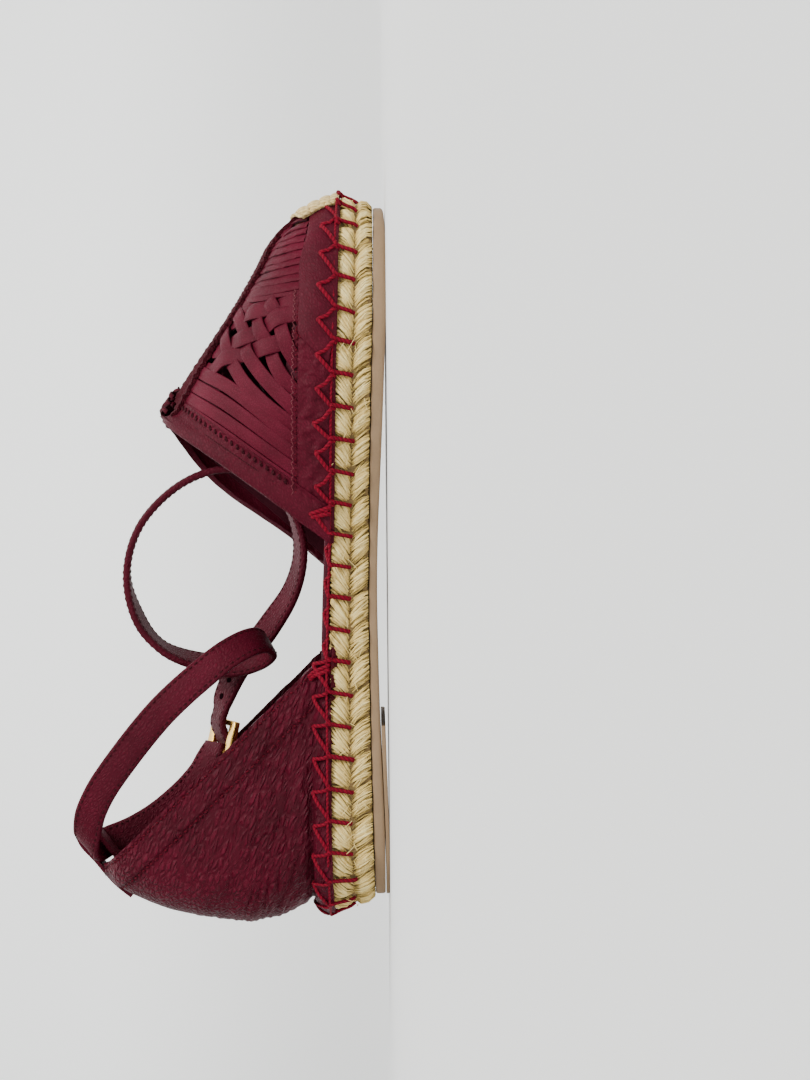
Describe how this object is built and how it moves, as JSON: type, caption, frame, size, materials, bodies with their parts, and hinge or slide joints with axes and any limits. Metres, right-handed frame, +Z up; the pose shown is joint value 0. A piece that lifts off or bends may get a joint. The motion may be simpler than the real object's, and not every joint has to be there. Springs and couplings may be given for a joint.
{
  "type": "espadrille sandal",
  "caption": "Left closed-toe leather espadrille sandal: hollow woven vamp, heel counter and buckled ankle strap on a braided jute sole with a rubber outsole and heel lift.",
  "frame": {"origin": "on the floor, under the middle of the shoe's box", "axes": "+X from heel to toe, +Y to the shoe's outer side, +Z up from the floor"},
  "size_m": [0.252, 0.0894, 0.1096],
  "materials": {
    "upper_leather": "burgundy pebbled leather with a soft sheen",
    "lining_leather": "dark burgundy smooth lining",
    "jute": "natural braided jute",
    "cream_cotton": "cream crocheted cotton",
    "taupe_rubber": "matt taupe rubber",
    "buckle_brass": "polished brass"
  },
  "bodies": {
    "root": {"outsole": "taupe_rubber", "heel_lift": "taupe_rubber", "jute_sole": "jute", "footbed": "lining_leather", "vamp": "upper_leather", "toe_patch": "cream_cotton", "counter": "upper_leather", "heel_loop": "upper_leather", "ankle_strap": "upper_leather", "buckle_frame": "buckle_brass", "buckle_prong": "buckle_brass"}
  },
  "joints": []
}
